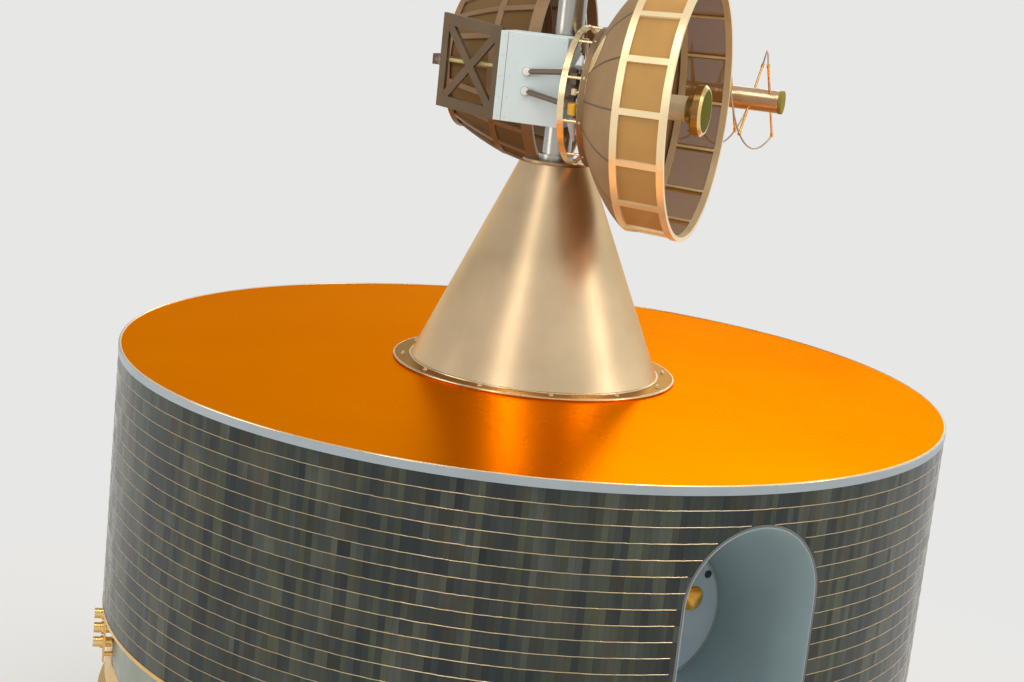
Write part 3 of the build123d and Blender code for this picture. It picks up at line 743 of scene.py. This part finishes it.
# Gauzes: colour outside, painted-shade colour inside, share covered, and for one also metallic and roughness
GAUZES = {
    "near_bowl_gauze": ((0.40, 0.265, 0.140), (0.26, 0.145, 0.055), 0.98, 0.25, 0.50),
    "near_band_gauze": ((0.66, 0.385, 0.135), (0.31, 0.150, 0.036), 0.70),
    # Far dish's gauzes: painted shade, darker copies of the near dish's gauze colours
    "far_bowl_gauze": ((0.20, 0.120, 0.050), (0.17, 0.095, 0.040), 0.94),
    "far_band_gauze": ((0.21, 0.120, 0.050), (0.17, 0.095, 0.040), 0.82),
}
MATERIALS = {name: worn_material(name, finish) for name, finish in FINISHES.items()}
MATERIALS["tower_metal"] = cone_material()
MATERIALS["gold_deck"] = deck_material()
MATERIALS["solar_cells"] = cell_material()
for gauze, values in GAUZES.items():
    MATERIALS[gauze] = gauze_material(gauze, dish_place(gauze.split("_")[0]).translation, *values)

# Nodes whose finish isn't their slot's
OWN_FINISH = {
    "near_struts": "strut_brown",
    "near_pivot_plate": "strut_brown",
    "helix_tube": "helix_tube",
    "far_hub": "far_hub_metal",
    "near_hub_plate": "hub_dark",
    "far_hub_plate": "hub_dark",
    "near_feed_tube": "feed_tube",
    "far_feed_tube": "feed_tube",
}


def dress_nodes():
    """Gives every CAD node its own finish, or else that of its slot."""
    for row in frame["record"]["subparts"]:
        name = row["node"]
        dish = name.split("_")[0]
        finish = OWN_FINISH.get(name, row["material_slot"])
        if finish == "mesh_brown":
            finish = dish + ("_band_gauze" if "band" in name else "_bowl_gauze")
        elif finish == "rib_metal":
            finish = dish + "_rib_metal"
        NODES[name].data.materials.clear()
        NODES[name].data.materials.append(MATERIALS[finish])


def bay_edges(radius, y):
    """Heights of the bay's lower and upper edges on the drum's face, this far off its middle."""
    share = (sqrt(DRUM_R ** 2 - y ** 2) - BAY_FLOOR_X) / BAY_DEPTH
    floor_low = BAY_FLOOR_Z - BAY_FLOOR_SLOT / 2
    floor_high = BAY_FLOOR_Z + BAY_FLOOR_SLOT / 2
    reach = sqrt(max(radius ** 2 - y ** 2, 0.0))
    low = floor_low + (BAY_LOW - floor_low) * share - reach
    return low, floor_high + (BAY_HIGH - floor_high) * share + reach


def in_bay(radius, angle, z):
    """True where this point of the drum's face lies within a bay of this radius."""
    for azimuth in BAY_AZIMUTHS.values():
        turn = (angle - radians(azimuth) + pi) % tau - pi
        y = DRUM_R * sin(turn)
        if abs(turn) < pi / 2 and abs(y) < radius:
            low, high = bay_edges(radius, y)
            if low < z < high:
                return True
    return False


def bus_line(form, z, draw):
    """Adds one thin raised line round the drum, open where a bay crosses it."""
    waves = [z + draw.uniform(-BUS_WAVE, BUS_WAVE) for _ in range(CELL_COUNT)]
    for cell in range(CELL_COUNT):
        start = tau * cell / CELL_COUNT
        stop = tau * (cell + 1) / CELL_COUNT
        if in_bay(TRIM_OUTER, start, z) or in_bay(TRIM_OUTER, stop, z):
            continue
        corners = []
        for angle, height in ((start, waves[cell]), (stop, waves[(cell + 1) % CELL_COUNT])):
            corners += [outward(angle, PANEL_R + proud, height + rise) for proud, rise in BUS_LINE]
        form.add(corners, [[row, row + 4, row + 5, row + 1] for row in range(3)])


def make_bus_lines():
    """Bus lines down from the deck, and down from the belt to the drum's foot."""
    draw = Random(4)
    lower_lines = floor((BELT_LOW - PANEL_LOW) / BUS_PITCH)
    for part, top, lines in (
        ("upper", DECK_Z - FIRST_BUS, range(UPPER_BUS_LINES)),
        ("lower", BELT_LOW, range(1, lower_lines)),
    ):
        form = Form()
        for line in lines:
            bus_line(form, top - BUS_PITCH * line, draw)
        form.piece("bus_lines_" + part, "bus_wire", "drum", "gold_trim")


def bay_outline(radius, azimuth, face_r):
    """Points round a bay's edge on the drum's face."""
    offsets = [radius * cos(pi * step / TRIM_STEPS) for step in range(TRIM_STEPS + 1)]
    points = [(y, bay_edges(radius, y)[1]) for y in offsets]
    points += [(-y, bay_edges(radius, -y)[0]) for y in offsets]
    turn = Matrix.Rotation(radians(azimuth), 3, "Z")
    return [turn @ Vector((sqrt(face_r ** 2 - y ** 2), y, z)) for y, z in points]


def make_bay_floors():
    """Pale plate on each bay's floor with a dark port in it, and a bead round the floor."""
    for name, azimuth in BAY_AZIMUTHS.items():
        out = Matrix.Rotation(radians(azimuth), 4, "Z")
        path = []
        for step in range(FLOOR_STEPS):
            angle = tau * step / FLOOR_STEPS
            rise = BAY_FLOOR_SLOT / 2 if sin(angle) > 0 else -BAY_FLOOR_SLOT / 2
            y = FLOOR_BEAD_RING_R * cos(angle)
            z = BAY_FLOOR_Z + rise + FLOOR_BEAD_RING_R * sin(angle)
            path.append(out @ Vector((BAY_FLOOR_X + FLOOR_BEAD_PROUD, y, z)))
        edge = Form()
        tube(edge, path + path[:1], FLOOR_BEAD_R, 8, ends=False)
        edge.piece("bay_floor_bead_" + name, "pale_bead", "drum", "bay_lining")
        plate = Form()
        middle = out @ Vector((BAY_FLOOR_X, 0, BAY_FLOOR_Z))
        place = axes_place(middle, out @ Vector((0, 1, 0)), UP, out @ Vector((1, 0, 0)))
        lathe(plate, place, FLOOR_PLATE_LINE, FLOOR_STEPS)
        plate.piece("bay_floor_plate_" + name, "bay_plate", "drum", "bay_lining")
        port = Form()
        discs(port, place @ Matrix.Translation((*FLOOR_PORT, FLOOR_PLATE_T)), PORT_DISC)
        port.piece("bay_floor_port_" + name, "bay_port", "drum", "bay_lining")


def make_bay_trims():
    for name, azimuth in BAY_AZIMUTHS.items():
        form = Form()
        rings = [bay_outline(radius, azimuth, PANEL_R + proud) for radius, proud in TRIM_LINE]
        form.add_rings(rings, ends=False)
        form.piece("bay_trim_" + name, "bay_edge", "drum", "gold_trim")


def make_deck_edge():
    """Bright bead where the deck meets its rim."""
    form = Form()
    bead(form, DRUM_R - DECK_BEAD_IN, DECK_Z, DECK_BEAD_R, 360)
    form.piece("deck_edge_bead", "ring_metal", "drum", "gold_trim")


def make_flange_bolts():
    form = Form()
    for bolt in range(FLANGE_BOLTS):
        angle = radians(FLANGE_BOLT_TURN + 360 * bolt / FLANGE_BOLTS)
        place = Matrix.Translation(outward(angle, FLANGE_BOLT_RING_R, DECK_Z + FLANGE_T))
        discs(form, place, FLANGE_WASHER, FLANGE_BOLT_HEAD)
    form.piece("flange_bolts", "bolt_steel", "drum", "tower_metal")


def make_tower_beads():
    """Rolled beads at the cone's foot and round its flange's edge."""
    form = Form()
    for radius, z, bead_r in (FOOT_BEAD, FLANGE_BEAD):
        bead(form, radius, z, bead_r, 180)
    form.piece("tower_beads", "tower_bead", "drum", "tower_metal")


def make_box():
    """Electronics box with softly rounded edges, in place of the plain block."""
    form = Form()
    outline = ((BOX_U[0], BOX_V[0]), (BOX_U[1], BOX_V[0]), (BOX_U[1], BOX_V[1]), (BOX_U[0], BOX_V[1]))
    form.add_rings([[on_mast(u, v, z) for u, v in outline] for z in BOX_Z])
    box = form.piece("box_case", "box_white", "mast", "box_white")
    bevel = box.modifiers.new("edge", "BEVEL")
    bevel.width = BOX_EDGE
    bevel.segments = 3
    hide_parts("electronics_box")


def screw(form, place, radius):
    """Adds a low domed screw head with a washer under it."""
    washer = (20, radius * 1.5, radius * 0.22, radius * 0.1)
    discs(form, place, washer, (16, radius, radius * 0.7, radius * 0.4, radius * 0.2))


def make_box_fittings():
    """Cover seam, screws and the white feet of the two struts on the box's face."""
    seam = Form()
    bar(seam, axes_place(on_mast(*BOX_SEAM_AT), POINTING, AWAY, UP), BOX_SEAM)
    seam.piece("box_seam", "box_seam", "mast", "box_white")
    screws = Form()
    for u in BOX_FACE_SCREWS_U:
        for z in BOX_FACE_SCREWS_Z:
            screw(screws, mast_face(u, BOX_V[0], z), BOX_SCREW_R)
    for v in BOX_END_SCREWS_V:
        for z in BOX_END_SCREWS_Z:
            screw(screws, mast_end(BOX_U[0], v, z), BOX_SCREW_R)
    screws.piece("box_screws", "box_white", "mast", "box_white")
    feet = Form()
    for u, z in STRUT_FEET:
        discs(feet, mast_face(u, BOX_V[0], z), STRUT_FOOT)
    feet.piece("strut_feet_white", "ceramic_white", "mast", "box_white")


def make_cross_rod():
    """Pale rod behind the truss frame's crossing, with its nut outside the far post."""
    form = Form()
    tube(form, [on_mast(u, CROSS_ROD_V, CROSS_ROD_Z) for u in CROSS_ROD_U], CROSS_ROD_R, 16)
    discs(form, mast_end(CROSS_NUT_U, TRUSS_V, CROSS_ROD_Z), CROSS_NUT)
    form.piece("truss_cross_rod", "pale_yellow", "mast", "truss_brown")


def on_wall(angle_up, radius, x):
    """Point of a dish in its own axes, by its angle up from the near side."""
    return outward(radians(180 - angle_up), radius, x)


def make_cage_units():
    """Small units round the near side of the near dish's cage, on their feet."""
    for name, (angle_up, length, low_r, high_r) in CAGE_UNITS.items():
        turn = radians(angle_up)
        up = Vector((sin(turn), cos(turn), 0))
        low = on_wall(angle_up, CAGE_UNIT_RING_R, CAGE_UNIT_X) - up * length / 2
        place = dish_place("near") @ facing(low, up)
        profile = [
            (AXIS_R, 0.0), (low_r - CAGE_UNIT_EDGE, 0.0), (low_r, CAGE_UNIT_EDGE),
            ((low_r + high_r) / 2, length / 2),
            (high_r, length - CAGE_UNIT_EDGE), (high_r - CAGE_UNIT_EDGE, length), (AXIS_R, length),
        ]
        form = Form()
        lathe(form, place, profile, 32)
        foot = place @ Matrix.Translation((CAGE_FOOT_DEEP / 2, 0, length / 2))
        bar(form, foot, (CAGE_FOOT_DEEP, CAGE_FOOT_WIDE, length / 3), CAGE_FOOT_BEVEL)
        form.piece(name, name, "near_dish", "mesh_brown")
    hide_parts("near_cage_units")


def make_ring_sleeve():
    """Brown sleeve on the cage's second ring: a painted dark reflection in the polished ring's middle."""
    hub_r = DISHES["near"].hub_r
    form = Form()
    lathe(form, dish_place("near"), [(hub_r + proud, CAGE_LEN + x) for proud, x in SLEEVE_LINE], 128)
    form.piece("near_ring_sleeve", "ring_brown", "near_dish", "mesh_brown")


def between_rows(line, row):
    """Point of a line at this running row number."""
    low = int(row)
    return [here + (there - here) * (row - low) for here, there in zip(line[low], line[low + 1])]


def make_ring_plate():
    """Gilt plate, shaped like a leaf, that lies on the start of the near bowl: a painted gold reflection of the
    polished second ring.
    """
    place = dish_place("near")
    line = bowl_line(DISHES["near"], -PLATE_GAP, PLATE_ROWS)
    rings = []
    for step in range(PLATE_STEPS + 1):
        share = step / PLATE_STEPS
        angle_up = PLATE_FROM + (PLATE_TO - PLATE_FROM) * share
        middle = PLATE_ROW_FROM + (PLATE_ROW_TO - PLATE_ROW_FROM) * share
        half = PLATE_END_HALF + PLATE_SWELL * sin(pi * share) ** 0.7
        low_r, low_x = between_rows(line, max(middle - half, 0.0))
        high_r, high_x = between_rows(line, middle + half)
        section = ((low_r, low_x), (high_r, high_x), (high_r + PLATE_T, high_x), (low_r + PLATE_T, low_x))
        rings.append([place @ on_wall(angle_up, radius, x) for radius, x in section])
    form = Form()
    form.add_rings(rings)
    form.piece("near_ring_plate", "gilt_plate", "near_dish", "ring_metal")


def make_cage_screws():
    """Screws in both rings of the near dish's cage, midway between its posts."""
    hub_r = DISHES["near"].hub_r
    form = Form()
    for post in range(CAGE_POSTS):
        angle = tau * (post + 0.5) / CAGE_POSTS
        for x, radius in ((0.0, hub_r), (CAGE_LEN, hub_r + SLEEVE_T)):
            screw(form, dish_place("near") @ facing(outward(angle, radius, x), outward(angle)), CAGE_SCREW_R)
    form.piece("near_cage_screws", "bolt_steel", "near_dish", "ring_metal")


def band_start(dish):
    """Distance along a dish at which its band starts."""
    return BOWL_X + dish.bowl_depth


def make_rivets(name):
    """Rivets where a dish's ribs meet its rings."""
    dish = DISHES[name]
    rim_x = band_start(dish) + dish.band_len - dish.rim_w / 2
    form = Form()
    for rib in range(dish.ribs):
        for radius, x in ((dish.band_r, band_start(dish) + RING_W / 2), (dish.rim_r, rim_x)):
            for side in (-RIVET_OFF_MIDDLE, RIVET_OFF_MIDDLE):
                angle = tau * rib / dish.ribs + side / radius
                place = dish_place(name) @ facing(outward(angle, radius, x), outward(angle))
                discs(form, place, RIVET)
    form.piece(name + "_rivets", name + "_rib_metal", name + "_dish", "rib_metal")


def make_near_braces():
    """Two thin rods inside the near dish's band."""
    start_x = band_start(DISHES["near"]) + BRACE_INSET
    stop_x = band_start(DISHES["near"]) + DISHES["near"].band_len - BRACE_INSET
    form = Form()
    for start_up, stop_up in BRACE_RODS:
        ends = on_wall(start_up, BRACE_RADII[0], start_x), on_wall(stop_up, BRACE_RADII[1], stop_x)
        tube(form, [dish_place("near") @ end for end in ends], BRACE_ROD_R)
    form.piece("near_brace_rods", "cream_rod", "near_dish", "rib_metal")


def make_feed_trims(name):
    """Studs round the back of a feed's disc, and the face in front of it, olive as a painted reflection of a green
    wall.
    """
    dish = DISHES[name]
    place = dish_place(name)
    back = band_start(dish) + dish.band_len - FEED_BACK
    studs = Form()
    for stud in range(FEED_STUDS):
        spot = outward(tau * (stud + FEED_STUD_TURN) / FEED_STUDS, FEED_STUD_RING_R, back)
        turned = place @ axes_place(spot, Vector((0, 1, 0)), Vector((1, 0, 0)), Vector((0, 0, -1)))
        discs(studs, turned, FEED_STUD_FOOT, FEED_STUD_HEAD)
    studs.piece(name + "_feed_studs", "bright_gold", name + "_dish", "nozzle_gold")
    front = Form()
    lathe(front, place, [(radius, back + FEED_T + rise) for radius, rise in FEED_FACE_LINE], 64)
    front.piece(name + "_feed_face", "feed_face", name + "_dish", "nozzle_gold")


def make_clamp_bolts():
    """Bolts of the mast's three clamps."""
    form = Form()
    for z, pitch in CLAMPS:
        for u in (-CLAMP_BOLT_U, CLAMP_BOLT_U):
            for rise in (-pitch / 2, pitch / 2):
                discs(form, mast_face(u, CLAMP_BOLT_V, z + rise), CLAMP_WASHER, CLAMP_BOLT_HEAD)
    form.piece("clamp_bolts", "bolt_steel", "mast", "bearing_dark")


def bowl_line(dish, below=0.0, rows=12):
    """Points of the bowl's outer line, (radius, distance along the dish)."""
    points = []
    for row in range(rows + 1):
        share = row / rows
        radius = dish.hub_r + (dish.band_r - dish.hub_r) * share + dish.bulge * sin(pi * share)
        points.append((radius - below, BOWL_X + dish.bowl_depth * share))
    return points


def band_line(dish, below):
    """Ends of the band's wall between its rings, this far below its outer line."""
    slope = (dish.rim_r - dish.band_r) / dish.band_len
    low_r = dish.band_r + slope * RING_W - below
    high_r = dish.rim_r - slope * dish.rim_w - below
    return [(low_r, band_start(dish) + RING_W), (high_r, band_start(dish) + dish.band_len - dish.rim_w)]


def walled(line):
    """Closed profile of a thin sheet whose outer side is this line."""
    return line + [(radius - SKIN_T, x) for radius, x in reversed(line)]


def make_dish_skins(name):
    """Gauze walls of a dish: its bowl and its band."""
    dish = DISHES[name]
    below = RIB_T + SEAT_GAP
    bowl_below = below if name == "far" else 0.0
    for part, node, line in (
        ("bowl", "bowl", bowl_line(dish, bowl_below)),
        ("band", "band_skin", band_line(dish, below)),
    ):
        form = Form()
        lathe(form, dish_place(name), walled(line), DISH_STEPS)
        gauze = f"{name}_{part}_gauze"
        wall = form.piece(gauze, gauze, name + "_dish", "mesh_brown")
        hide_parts(f"{name}_{node}")


def make_inner_ribs(name):
    """Narrow strips inside the band, one behind each rib."""
    dish = DISHES[name]
    (low_r, low_x), (high_r, high_x) = band_line(dish, RIB_T + SEAT_GAP + SKIN_T)
    along = Vector((high_r - low_r, 0, high_x - low_x))
    length = along.length
    along.normalize()
    out = Vector((along.z, 0, -along.x))
    on_skin = Vector(((low_r + high_r) / 2, 0, (low_x + high_x) / 2))
    middle = on_skin - out * (INNER_RIB_T / 2 + INNER_RIB_GAP)
    strip = axes_place(middle, Vector((0, 1, 0)), out, -along)
    form = Form()
    for rib in range(dish.ribs):
        turn = dish_place(name) @ Matrix.Rotation(tau * rib / dish.ribs, 4, "Z")
        bar(form, turn @ strip, (INNER_RIB_W, INNER_RIB_T, length))
    form.piece(name + "_inner_ribs", name + "_rib_metal", name + "_dish", "rib_metal")


def make_bowl_seams():
    """Narrow seams where the near bowl's gores meet, in line with the band's ribs."""
    dish = DISHES["near"]
    line = bowl_line(dish)
    lows = [row * 4 + step for row in range(len(line) - 1) for step in range(3)]
    faces = [[low, low + 1, low + 5, low + 4] for low in lows]
    form = Form()
    for seam in range(dish.ribs):
        turn = dish_place("near") @ Matrix.Rotation(tau * seam / dish.ribs, 4, "Z")
        corners = [turn @ Vector((radius + rise, side, x)) for radius, x in line for side, rise in SEAM_LINE]
        form.add(corners, faces)
    form.piece("near_bowl_seams", "seam_brown", "near_dish", "mesh_brown")


def helix_point(rods_in, wire):
    """Point of one of the helix's two wires, this many rods in from its tip."""
    angle = radians(HELIX_TIP_ANGLE + 180 * wire - 90 * rods_in)
    u = HELIX_U[1] - (HELIX_U[1] - HELIX_U[0]) * rods_in / (HELIX_RODS - 1)
    return on_mast(u, HELIX_V + HELIX_R * sin(angle), HELIX_Z - HELIX_R * cos(angle))


def make_helix():
    """Two wires of the helix antenna, the rods that hold them off its tube, and the tube's cap."""
    form = Form()
    points = (HELIX_RODS - 1) * HELIX_STEPS + 1
    for wire in range(2):
        tube(form, [helix_point(point / HELIX_STEPS, wire) for point in range(points)], HELIX_WIRE_R, 8)
    wires = form.piece("helix_wires", "helix_wire", "mast", "gold_wire")
    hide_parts("helix_coil")
    form = Form()
    for rod in range(HELIX_RODS):
        ends = helix_point(rod, 0), helix_point(rod, 1)
        tube(form, ends, HELIX_ROD_R)
        for end in ends:
            inward = (sum(ends, Vector()) / 2 - end).normalized()
            ferrule = [end - inward * HELIX_FERRULE_OUT, end + inward * HELIX_FERRULE_IN]
            tube(form, ferrule, HELIX_FERRULE_R)
    form.piece("helix_rods", "gold_wire", "mast", "gold_wire")
    cap = Form()
    place = axes_place(on_mast(HELIX_CAP_U, HELIX_V, HELIX_Z), AWAY, UP, POINTING)
    lathe(cap, place, HELIX_CAP_LINE, 48)
    cap.piece("helix_tube_cap", "tube_cap", "mast", "gold_wire")


def seen_ray(tree):
    """1 for rays that show the background: from the camera, and through gloss and glass."""
    rays = tree.nodes.new("ShaderNodeLightPath").outputs
    seen = calc(tree, "MAXIMUM", rays["Is Camera Ray"], rays["Is Glossy Ray"])
    return calc(tree, "MAXIMUM", seen, rays["Is Transmission Ray"])


def mix_shaders(tree, factor, first, second, output):
    mixed = fed_node(tree, "MixShader", (factor, first.outputs[0], second.outputs[0]))
    tree.links.new(mixed[0], output.inputs["Surface"])


def make_floor():
    """Pale floor that keeps the object's shadow, and goes over into the background further out."""
    mesh = bpy.data.meshes.new("floor")
    corners = [(x * FLOOR_HALF, y * FLOOR_HALF, 0) for x, y in ((-1, -1), (1, -1), (1, 1), (-1, 1))]
    mesh.from_pydata(corners, [], [[0, 1, 2, 3]])
    material, tree, shader = new_material("floor_paint", BACKGROUND, 0.0, 0.8, specular=0.1)
    x, y, _ = split(tree, object_coords(tree))
    away = calc(tree, "SQRT", calc(tree, "ADD", calc(tree, "MULTIPLY", x, x), calc(tree, "MULTIPLY", y, y)))
    fade = tree.nodes.new("ShaderNodeMapRange")
    fade.interpolation_type = "SMOOTHSTEP"
    fade.inputs["From Min"].default_value, fade.inputs["From Max"].default_value = FLOOR_FADE
    tree.links.new(away, fade.inputs["Value"])
    far = tree.nodes.new("ShaderNodeEmission")
    far.inputs["Color"].default_value = rgba(BACKGROUND)
    seen = calc(tree, "MULTIPLY", fade.outputs[0], seen_ray(tree))
    mix_shaders(tree, seen, shader, far, tree.nodes["Material Output"])
    mesh.materials.append(material)
    new_object("floor", mesh)


def make_world():
    """Plain light from all round, and a backdrop that is darker high up and on the left."""
    world = bpy.data.worlds.new("studio")
    bpy.context.scene.world = world
    world.use_nodes = True
    tree = world.node_tree
    light = tree.nodes["Background"]
    light.inputs["Color"].default_value = rgba(ROOM_LIGHT)
    side, _, rise = split(tree, tree.nodes.new("ShaderNodeTexCoord").outputs["Generated"])
    backdrop = ramp(tree, rise, [
        (0.0, BACKGROUND),
        (0.30, (0.78, 0.78, 0.77)),
        (0.62, (0.50, 0.50, 0.50)),
        (1.0, (0.66, 0.66, 0.66)),
    ])
    to_right = spread(tree, side, 0.0, 1.0, -0.40, 0.20)
    across = ramp(tree, to_right, [(0.0, (0.64, 0.61, 0.58)), (1.0, (1.10, 1.08, 1.03))])
    high = spread(tree, rise, 0.0, 1.0, 0.08, 0.16)
    shade = mix_color(tree, high, rgba((1.0, 1.0, 1.0)), across)
    shown = tree.nodes.new("ShaderNodeBackground")
    tree.links.new(vector_calc(tree, "MULTIPLY", backdrop, shade), shown.inputs["Color"])
    mix_shaders(tree, seen_ray(tree), light, shown, tree.nodes["World Output"])


def make_lamps():
    for name, (place, target, size, watts, color) in LAMPS.items():
        light = bpy.data.lights.new(name, "AREA")
        light.shape = "RECTANGLE"
        light.size, light.size_y = size
        light.energy = watts
        light.color = color
        lamp = new_object(name, light)
        lamp.location = place
        lamp.rotation_mode = "QUATERNION"
        lamp.rotation_quaternion = (Vector(place) - Vector(target)).to_track_quat("Z", "Y")
        lamp.visible_camera = False


def make_camera():
    camera = bpy.data.cameras.new("photo_view")
    camera.lens = CAMERA_LENS
    camera.sensor_width = SENSOR_WIDTH
    camera.clip_end = 500.0
    holder = new_object("photo_view", camera)
    ahead = (CAMERA_LEVEL_POINT - CAMERA_AT).normalized()
    right = Vector((1, 0, 0))
    level = Matrix((right, right.cross(ahead), -ahead)).transposed()
    turns = Matrix.Rotation(CAMERA_TILT, 3, "X") @ Matrix.Rotation(CAMERA_PAN, 3, "Y")
    turns = turns @ Matrix.Rotation(CAMERA_ROLL, 3, "Z")
    holder.matrix_world = Matrix.Translation(CAMERA_AT) @ (level @ turns).to_4x4()
    bpy.context.scene.camera = holder


make_camera()
make_world()
make_lamps()
make_floor()
dress_nodes()
make_bus_lines()
make_bay_floors()
make_bay_trims()
make_deck_edge()
make_flange_bolts()
make_tower_beads()
make_box()
make_box_fittings()
make_cross_rod()
make_clamp_bolts()
for dish in DISHES:
    make_dish_skins(dish)
    make_inner_ribs(dish)
    make_rivets(dish)
    make_feed_trims(dish)
make_bowl_seams()
make_cage_units()
make_ring_sleeve()
make_ring_plate()
make_cage_screws()
make_near_braces()
make_helix()

bpy.context.scene.view_settings.view_transform = "Standard"
